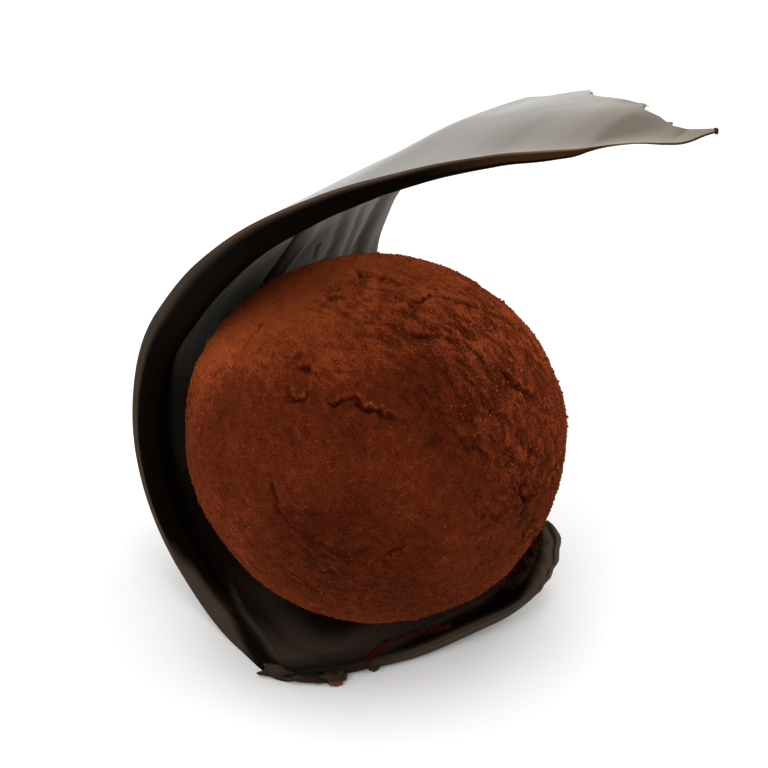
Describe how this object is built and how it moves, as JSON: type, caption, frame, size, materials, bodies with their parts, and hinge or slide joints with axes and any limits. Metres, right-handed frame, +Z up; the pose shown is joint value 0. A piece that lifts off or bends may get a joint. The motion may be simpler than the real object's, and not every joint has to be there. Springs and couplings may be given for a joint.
{
  "type": "chocolate truffle",
  "caption": "Cocoa-dusted chocolate truffle resting in a bent strip of dark chocolate, whose wall rises behind the ball and arches over it into a tapering broken tip",
  "frame": {"origin": "on the table, under the middle of the truffle, on the flat sole of the chocolate strip", "axes": "+Z up; the strip lies in planes of constant Y and runs from its lip at +X under the truffle to its wall at -X, and back over the truffle to its tip at +X; +Y is across the strip, towards its curled-in side"},
  "size_m": [0.0509, 0.0298, 0.0602],
  "materials": {
    "cocoa_powder": "matte powder, dry cocoa over rolled ganache",
    "dark_chocolate": "satin to glossy set chocolate with faint drag lines"
  },
  "bodies": {
    "root": {"truffle": "cocoa_powder", "chocolate_curl": "dark_chocolate"}
  },
  "joints": []
}
